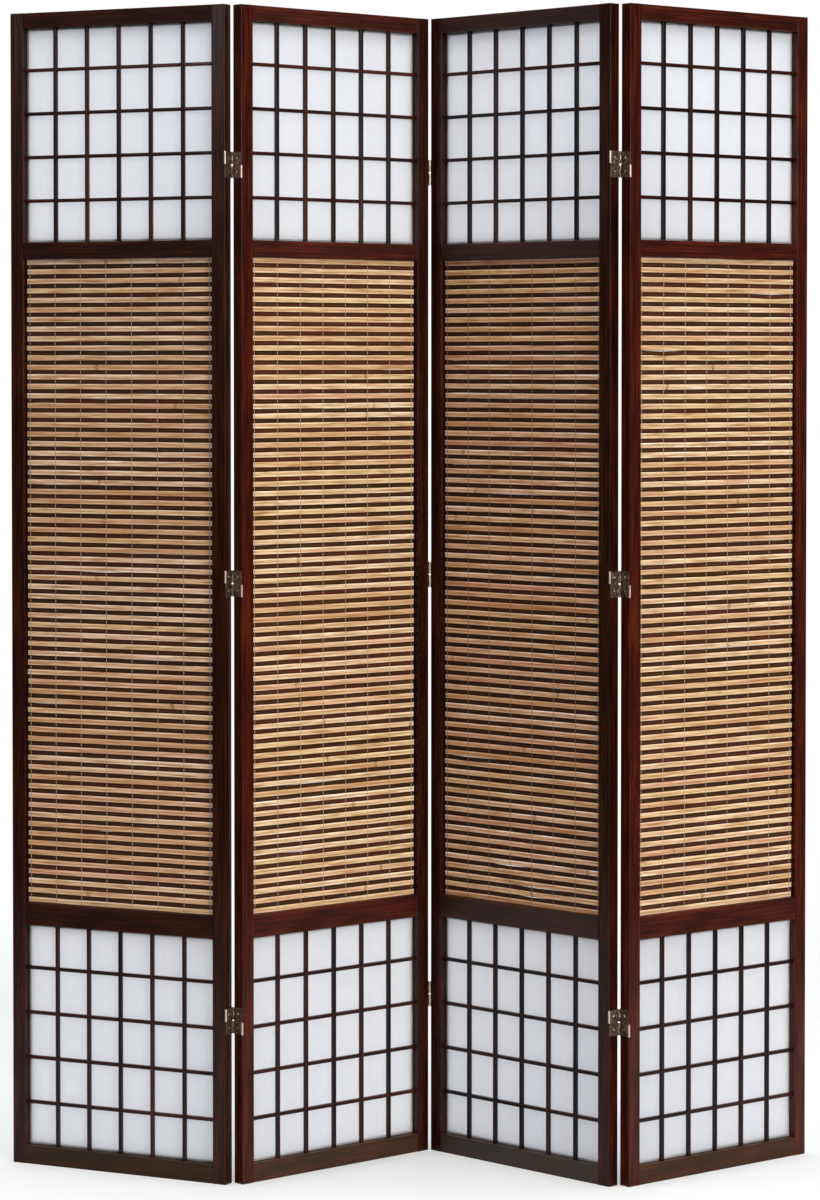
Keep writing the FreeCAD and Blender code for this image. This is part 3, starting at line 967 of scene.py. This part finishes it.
# %% Strands
count = add(tree, "FunctionNodeIntegerMath", {0: given["Pairs"], 1: points, 2: 2}, operation="MULTIPLY_ADD")
ring = add(tree, "GeometryNodeCurvePrimitiveCircle", {"Resolution": 6, "Radius": 0.5})
flattened = spot(tree, given["Wide"], given["Thick"], 1.0)
ring = add(tree, "GeometryNodeTransform", {"Geometry": ring, "Scale": flattened})
strands = []
for in_front in (on_light, on_dark):
    woven = spot(tree, 0.0, mixed(tree, in_front, given["Back"], given["Front"]), up)
    dots = add(tree, "GeometryNodeMeshLine", {"Count": count})
    dots = add(tree, "GeometryNodeSetPosition", {"Geometry": dots, "Position": woven})
    strands.append(swept(tree, add(tree, "GeometryNodeMeshToCurve", {"Mesh": dots}), ring))
first_line, line_step = spot(tree, given["First line"]), spot(tree, given["Line step"])
threads = real(tree, in_row(tree, together(tree, strands), given["Lines"], first_line, line_step))
threads = kept(tree, threads, "grain_place", position(tree), "FLOAT_VECTOR")
end(tree, soften(tree, threads, 1.2), given["Finish"])
print("threads:", len(tree.nodes), "nodes")

# %% Threads on the panels
# Each panel's thread is a little darker than the cotton; the much darker thread of the third panel is painted
# shade.
thread_tone_and_shade = {1: 0.7, 2: 0.76, 3: 0.42, 4: 0.78}
dark_cotton, light_cotton = (0.5, 0.39, 0.29), (0.72, 0.58, 0.46)
lines, line_span, twist_scale = 8, 0.319, 420.0
thread_of_panel = {
    "Lines": lines, "First line": 0.0305, "Line step": line_span / (lines - 1), "Pairs": pairs,
    "Pitch": strip_pitch, "Foot": mat_foot, "Light high": light_high, "Room": strip_room, "Front": 0.00686,
    "Back": 0.00914, "Wide": 0.001, "Thick": 0.00036}


def cotton(panel):
    """Twisted thread, a little darker on each panel, and much darker on the third: painted shade."""
    finish, tree, surface = new_finish("cotton_thread_%d" % panel)
    place = stored_grain(tree, panel)
    twist = add(tree, "ShaderNodeTexWave", {
        "Vector": place, "Scale": twist_scale, "Distortion": 1.5, "Detail": 1.0},
        wave_type="BANDS", bands_direction="DIAGONAL").outputs["Fac"]
    fuzz = streaks(tree, place, (0.002, 0.002, 0.02), 3.0)
    dark, light = (toned(colour, thread_tone_and_shade[panel]) for colour in (dark_cotton, light_cotton))
    colour = tones(tree, fuzz, (0.3, dark), (0.7, light))
    colour = shaded(tree, colour, tones(tree, twist, (0.1, (0.55, 0.5, 0.45)), (0.7, plain)), 0.6)
    surfaced(tree, surface, colour, (fuzz, 0.7, 0.95), (twist, 0.0001, 0.7), gloss=0.15)
    return finish


for panel in panel_place:
    threads = grow("panel_%d_threads" % panel, thread_tree, {**thread_of_panel, "Finish": cotton(panel)})
    faces = settle(threads, panel, "panel_%d_binding_threads" % panel)
print("the threads of a mat have", faces, "faces")

# %% [markdown]
# The hinges
#
# Each hinge has two leaves, two straps that run from the front barrel of one leaf to the back barrel of the
# other, and four pins. They are bronzed steel: dark brown on the flat plates, rubbed bright on the barrels
# that stand proud of the frame. The imported shapes are right, so only the finish is made here. The barrels lie
# in front of and behind the timber, so the place on the panel tells where the bronze is worn.

# %% Bronze
# A dark ring round each screw head: grime, and painted shade where the head sits in its countersink.
rub_reach, grime_and_shade = 0.001, (0.02, 0.014, 0.01, 1)
grime_and_shade_from, grime_and_shade_to = 0.0016, 0.0021


def bronze(name, panel, rubbed, aged, rough=(0.3, 0.6), rim=False):
    """Aged bronze, brighter where it is rubbed, with grime and painted shade in the rim of a screw head."""
    finish, tree, surface = new_finish(name)
    place = on_panel(tree, panel)
    away = apart(tree, split(tree, place)[1], panel_depth / 2)
    worn = spread(tree, away, panel_depth / 2, panel_depth / 2 + rub_reach, 0.0, 0.9)
    stains = streaks(tree, place, (0.0034, 0.0034, 0.0044), 5.0, 0.75)
    brushed = streaks(tree, place, (0.0007, 0.0007, 0.006), 2.0)
    old = tones(tree, stains, (0.38, toned(aged, 0.2)), (0.54, toned(aged, 0.9)), (0.66, toned(aged, 2.6)))
    colour = blend(tree, worn, old, tones(tree, stains, (0.3, toned(rubbed, 0.7)), (0.6, rubbed)))
    if rim:
        from_middle = distance(tree, carried(tree, "head_place", "Vector"))
        colour = blend(tree, spread(tree, from_middle, grime_and_shade_from, grime_and_shade_to), colour, grime_and_shade)
    surfaced(tree, surface, colour, (brushed, *rough), (stains, 0.00004, 0.5))
    fill(tree, surface, {"Metallic": 1.0})
    return finish


# On each side of a hinge: the panel, its leaf, and which straps and pins stay with it.
hinge_sides = {
    "12": ((1, "left", "upper"), (2, "right", "lower")),
    "23": ((2, "left", "lower"), (3, "right", "upper")),
    "34": ((3, "left", "upper"), (4, "right", "lower")),
}
# The plates on the second and fourth panels take a darker copy of the bronze: painted shade over their
# reflections.
brown_plate, painted_shade_plate = (0.35, 0.26, 0.2), (0.19, 0.14, 0.11)
plate_aged_and_shaded = {1: brown_plate, 2: painted_shade_plate, 3: brown_plate, 4: painted_shade_plate}
plate_bronze = {p: bronze("hinge_bronze_%d" % p, p, (0.85, 0.68, 0.56), plate_aged_and_shaded[p]) for p in panel_place}
pin_bronze = {p: bronze("pin_bronze_%d" % p, p, (0.85, 0.7, 0.56), (0.4, 0.31, 0.23)) for p in panel_place}
for hinge, sides in hinge_sides.items():
    for panel, side, half in sides:
        give("hinge_%s_%s_leaves" % (hinge, side), plate_bronze[panel])
        give("hinge_%s_%s_straps" % (hinge, half), plate_bronze[panel])
        give("hinge_%s_%s_pins" % (hinge, half), pin_bronze[panel])
print("bronze on", 6 * len(hinge_sides), "hinge pieces")

# %% [markdown]
# The screws
#
# Two countersunk screws hold each leaf, with a cross recess in the head. The recess is too small to matter
# from afar, but it is the first thing seen in a close view, with the dark ring round the head, which is grime
# and painted shade of the countersink. One screw is put together in the tree: a head with two slots cut out
# of it, a shank and a point. It is then set on a point for every screw hole, turned to face out of its stile.

# %% One screw
screw_tree, given = new_tree("hinge_screws", Int=("Seed",), Material=("Finish",), Float=(
    "Head radius", "Shank radius", "Head depth", "Length", "Slot width", "Slot depth"))
tree = screw_tree
point_long, point_radius = 0.003, 0.0001


def lifted(tree, shape, height):
    """A shape moved up."""
    return add(tree, "GeometryNodeTransform", {
        "Geometry": shape, "Translation": spot(tree, up=height)}).outputs[0]


def frustum(tree, top, bottom, depth, raised):
    """Round taper that stands on a height."""
    cone = add(tree, "GeometryNodeMeshCone", {
        "Vertices": 20, "Radius Top": top, "Radius Bottom": bottom, "Depth": depth}).outputs[0]
    return lifted(tree, cone, raised)


head = frustum(tree, given["Head radius"], given["Shank radius"], given["Head depth"], 0.0)
cut = add(tree, "GeometryNodeMeshBoolean", {0: head}, operation="DIFFERENCE", solver="EXACT")
slot_long = times(tree, given["Head radius"], 1.25)
slot_deep = times(tree, given["Slot depth"], 2.0)
for slot_sides in ((slot_long, given["Slot width"]), (given["Slot width"], slot_long)):
    block = add(tree, "GeometryNodeMeshCube", {"Size": spot(tree, *slot_sides, slot_deep)}).outputs[0]
    fill(tree, cut, {1: lifted(tree, block, given["Head depth"])})
shank_long = minus(tree, given["Length"], point_long)
shank_foot, point_foot = times(tree, shank_long, -1.0), times(tree, given["Length"], -1.0)
shank = frustum(tree, given["Shank radius"], given["Shank radius"], shank_long, shank_foot)
point = frustum(tree, given["Shank radius"], point_radius, point_long, point_foot)
screw = together(tree, (cut.outputs[0], shank, point))
across, deep, _ = split(tree, position(tree))
screw = kept(tree, screw, "head_place", spot(tree, across, deep), "FLOAT_VECTOR")
print("a screw:", len(tree.nodes), "nodes")

# %% A screw in every hole
def turn_by(tree, angles):
    """A rotation from three angles."""
    return add(tree, "FunctionNodeEulerToRotation", {0: angles})


on_right = sums(tree, "GREATER_THAN", split(tree, position(tree))[0], panel_width / 2)
face_out = plus(tree, times(tree, on_right, math.pi), -math.pi / 2)
spin = chance(tree, given, 1, 0.0, 3.1)
out_of_stile, spun = turn_by(tree, spot(tree, deep=face_out)), turn_by(tree, spot(tree, up=spin))
turned = add(tree, "FunctionNodeRotateRotation", {0: out_of_stile, 1: spun}, rotation_space="LOCAL")
screws = add(tree, "GeometryNodeInstanceOnPoints", {
    "Points": given["Geometry"], "Instance": screw, "Rotation": turned}).outputs[0]
end(tree, soften(tree, real(tree, screws)), given["Finish"])
print("screws:", len(tree.nodes), "nodes")

# %% Screws on the panels
hinge_levels, screw_rises = (0.250, 0.9195, 1.557), (-0.0105, 0.0105)
screw_heights = [level + rise for level in hinge_levels for rise in screw_rises]
hinged_edges = {1: (panel_width,), 2: (0.0, panel_width), 3: (0.0, panel_width), 4: (0.0,)}
rubbed_screw, aged_screw, screw_rough = (0.8, 0.68, 0.54), (0.95, 0.8, 0.64), (0.5, 0.75)
screw_of_panel = {"Head radius": 0.0026, "Shank radius": 0.0014, "Head depth": 0.0007, "Length": 0.014,
                  "Slot width": 0.0006, "Slot depth": 0.0005}
for panel, edges in hinged_edges.items():
    finish = bronze("screw_metal_%d" % panel, panel, rubbed_screw, aged_screw, screw_rough, rim=True)
    seats = bpy.data.meshes.new("panel_%d_screw_seats" % panel)
    seats.from_pydata([(edge, panel_depth / 2, height) for edge in edges for height in screw_heights], [], [])
    screws = grow("panel_%d_screws" % panel, screw_tree, {
        **screw_of_panel, "Seed": panel, "Finish": finish}, seats)
    faces = settle(screws, panel, "panel_%d_hinge_screws" % panel)
    low, high = screws.bound_box[0], screws.bound_box[6]
    print("panel", panel, "screws:", faces, "faces, from", rounded(low), "to", rounded(high))

# %% [markdown]
# The finished screen
#
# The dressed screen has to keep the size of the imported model.

# %% Sizes and the last check
dressed_box = [list(corner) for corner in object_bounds()]
grown_by = max(abs(a - b) for low, high in zip(cad_box, dressed_box) for a, b in zip(low, high))
print("the dressed box differs by %.2f mm" % (1000 * grown_by))
